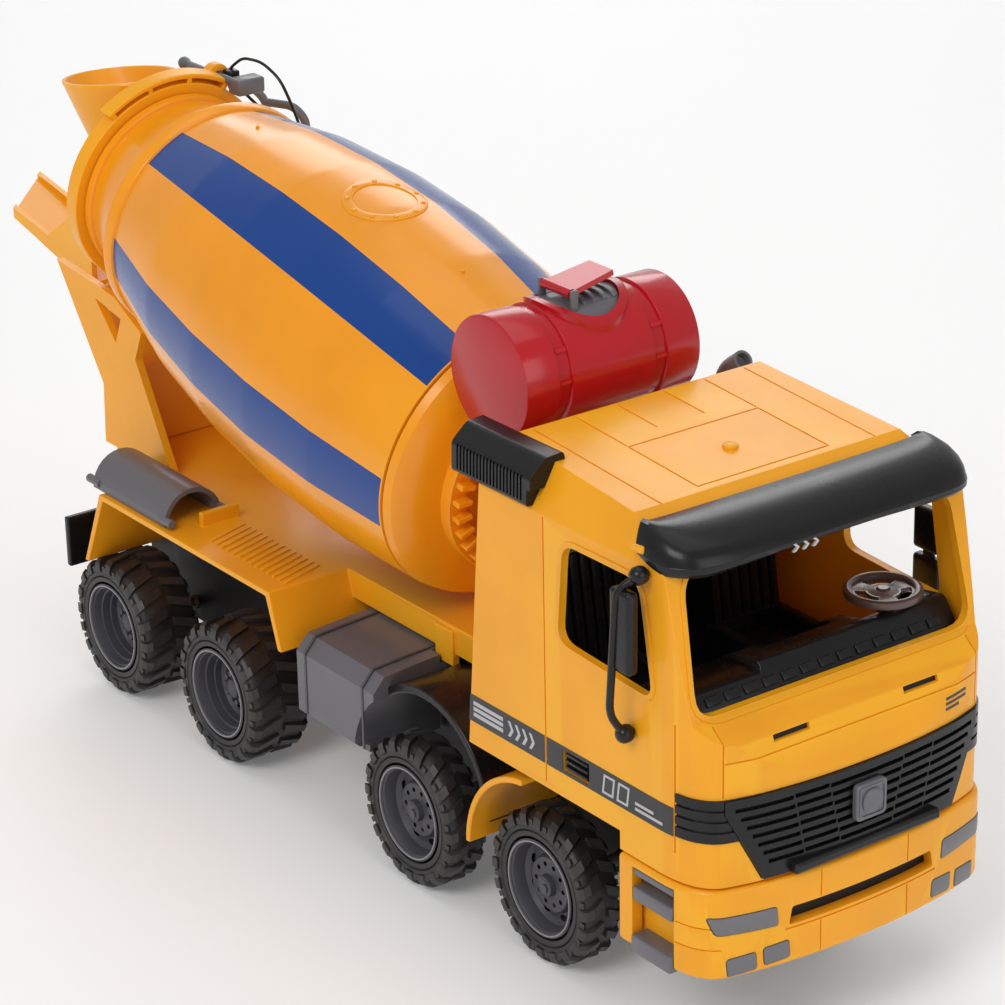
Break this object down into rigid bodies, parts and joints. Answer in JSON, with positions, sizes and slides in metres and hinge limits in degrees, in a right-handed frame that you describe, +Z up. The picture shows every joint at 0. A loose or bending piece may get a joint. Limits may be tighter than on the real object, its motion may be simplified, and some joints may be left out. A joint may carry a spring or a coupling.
{
  "type": "toy cement mixer truck",
  "caption": "Toy cement mixer truck: forward-control cab, tilted drum with feed hopper, swinging chute and geared hand crank, water tank, dished wheels on turning axles.",
  "frame": {"origin": "on the ground, under the middle of the truck's bounding box", "axes": "+X forward, +Y towards the truck's left side, +Z up"},
  "size_m": [0.4362, 0.1168, 0.189],
  "materials": {
    "yellow_plastic": "moulded gloss yellow-orange",
    "red_plastic": "moulded gloss red",
    "black_plastic": "moulded satin black",
    "grey_plastic": "moulded satin grey",
    "brown_plastic": "moulded satin brown-grey",
    "rubber": "moulded soft black tyre"
  },
  "bodies": {
    "chassis": {"access_ladder": "grey_plastic", "air_intake": "black_plastic", "cab_interior": "black_plastic", "cab_shell": "yellow_plastic", "chassis_frame": "black_plastic", "exhaust_stack": "grey_plastic", "feed_hopper": "yellow_plastic", "front_badge": "grey_plastic", "front_bumper": "yellow_plastic", "front_mudguard_left": "yellow_plastic", "front_mudguard_right": "yellow_plastic", "front_pedestal": "yellow_plastic", "grille": "black_plastic", "lamp_cluster_left": "grey_plastic", "lamp_cluster_right": "grey_plastic", "mirror_left": "black_plastic", "mirror_right": "black_plastic", "mouth_collar": "yellow_plastic", "mudflap_board": "black_plastic", "rear_deck": "yellow_plastic", "rear_pedestal": "yellow_plastic", "side_box_left": "grey_plastic", "side_box_right": "grey_plastic", "step_insert_left": "grey_plastic", "step_insert_right": "grey_plastic", "sun_visor": "black_plastic", "tank_cap": "grey_plastic", "water_tank": "red_plastic"},
    "axle_set_front": {"axle_front": "grey_plastic", "rim_front_left": "grey_plastic", "rim_front_right": "grey_plastic", "tyre_front_left": "rubber", "tyre_front_right": "rubber"},
    "axle_set_second": {"axle_second": "grey_plastic", "rim_second_left": "grey_plastic", "rim_second_right": "grey_plastic", "tyre_second_left": "rubber", "tyre_second_right": "rubber"},
    "axle_set_third": {"axle_third": "grey_plastic", "rim_third_left": "grey_plastic", "rim_third_right": "grey_plastic", "tyre_third_left": "rubber", "tyre_third_right": "rubber"},
    "axle_set_rear": {"axle_rear": "grey_plastic", "rim_rear_left": "grey_plastic", "rim_rear_right": "grey_plastic", "tyre_rear_left": "rubber", "tyre_rear_right": "rubber"},
    "drum": {"drum_shell": "yellow_plastic", "drum_front_bowl": "yellow_plastic"},
    "drive_crank": {"drive_crank": "grey_plastic"},
    "steering_wheel": {"steering_wheel": "brown_plastic"},
    "discharge_chute": {"discharge_chute": "yellow_plastic"},
    "tank_latch": {"tank_latch": "red_plastic"},
    "chute_extension": {"chute_extension": "grey_plastic"},
    "hopper_lever": {"hopper_lever": "grey_plastic"}
  },
  "joints": [
    {"name": "axle_front_roll", "type": "hinge", "parent": "chassis", "child": "axle_set_front", "pos_m": [0.13445, 0, 0.0225], "axis": [0, 1, 0], "continuous": true},
    {"name": "axle_second_roll", "type": "hinge", "parent": "chassis", "child": "axle_set_second", "pos_m": [0.07645, 0, 0.0225], "axis": [0, 1, 0], "continuous": true},
    {"name": "axle_third_roll", "type": "hinge", "parent": "chassis", "child": "axle_set_third", "pos_m": [-0.02355, 0, 0.0225], "axis": [0, 1, 0], "continuous": true},
    {"name": "axle_rear_roll", "type": "hinge", "parent": "chassis", "child": "axle_set_rear", "pos_m": [-0.08555, 0, 0.0225], "axis": [0, 1, 0], "continuous": true},
    {"name": "drum_spin", "type": "hinge", "parent": "chassis", "child": "drum", "pos_m": [-0.02555, 0, 0.1345], "axis": [-0.9785, 0, 0.2062], "continuous": true},
    {"name": "crank_spin", "type": "hinge", "parent": "chassis", "child": "drive_crank", "pos_m": [0.08541, 0.0263, 0.11112], "axis": [0, 1, 0], "continuous": true},
    {"name": "steering_turn", "type": "hinge", "parent": "chassis", "child": "steering_wheel", "pos_m": [0.18785, 0.0295, 0.1086], "axis": [0, 0, 1], "continuous": true},
    {"name": "chute_swing", "type": "hinge", "parent": "chassis", "child": "discharge_chute", "pos_m": [-0.15255, 0, 0.111], "axis": [0, 0, 1], "range_deg": [-30, 30]},
    {"name": "latch_lift", "type": "hinge", "parent": "chassis", "child": "tank_latch", "pos_m": [0.09605, -0.0064, 0.1758], "axis": [1, 0, 0], "range_deg": [0, 100]},
    {"name": "extension_off", "type": "slide", "parent": "chassis", "child": "chute_extension", "axis": [0, -1, 0], "range_m": [0, 0.06]},
    {"name": "lever_turn", "type": "hinge", "parent": "chassis", "child": "hopper_lever", "pos_m": [-0.11405, 0.0192, 0.185], "axis": [1, 0, 0], "range_deg": [0, 60]}
  ],
  "couplings": [
    {"joint": "crank_spin", "follows": "drum_spin", "ratio": -4}
  ]
}
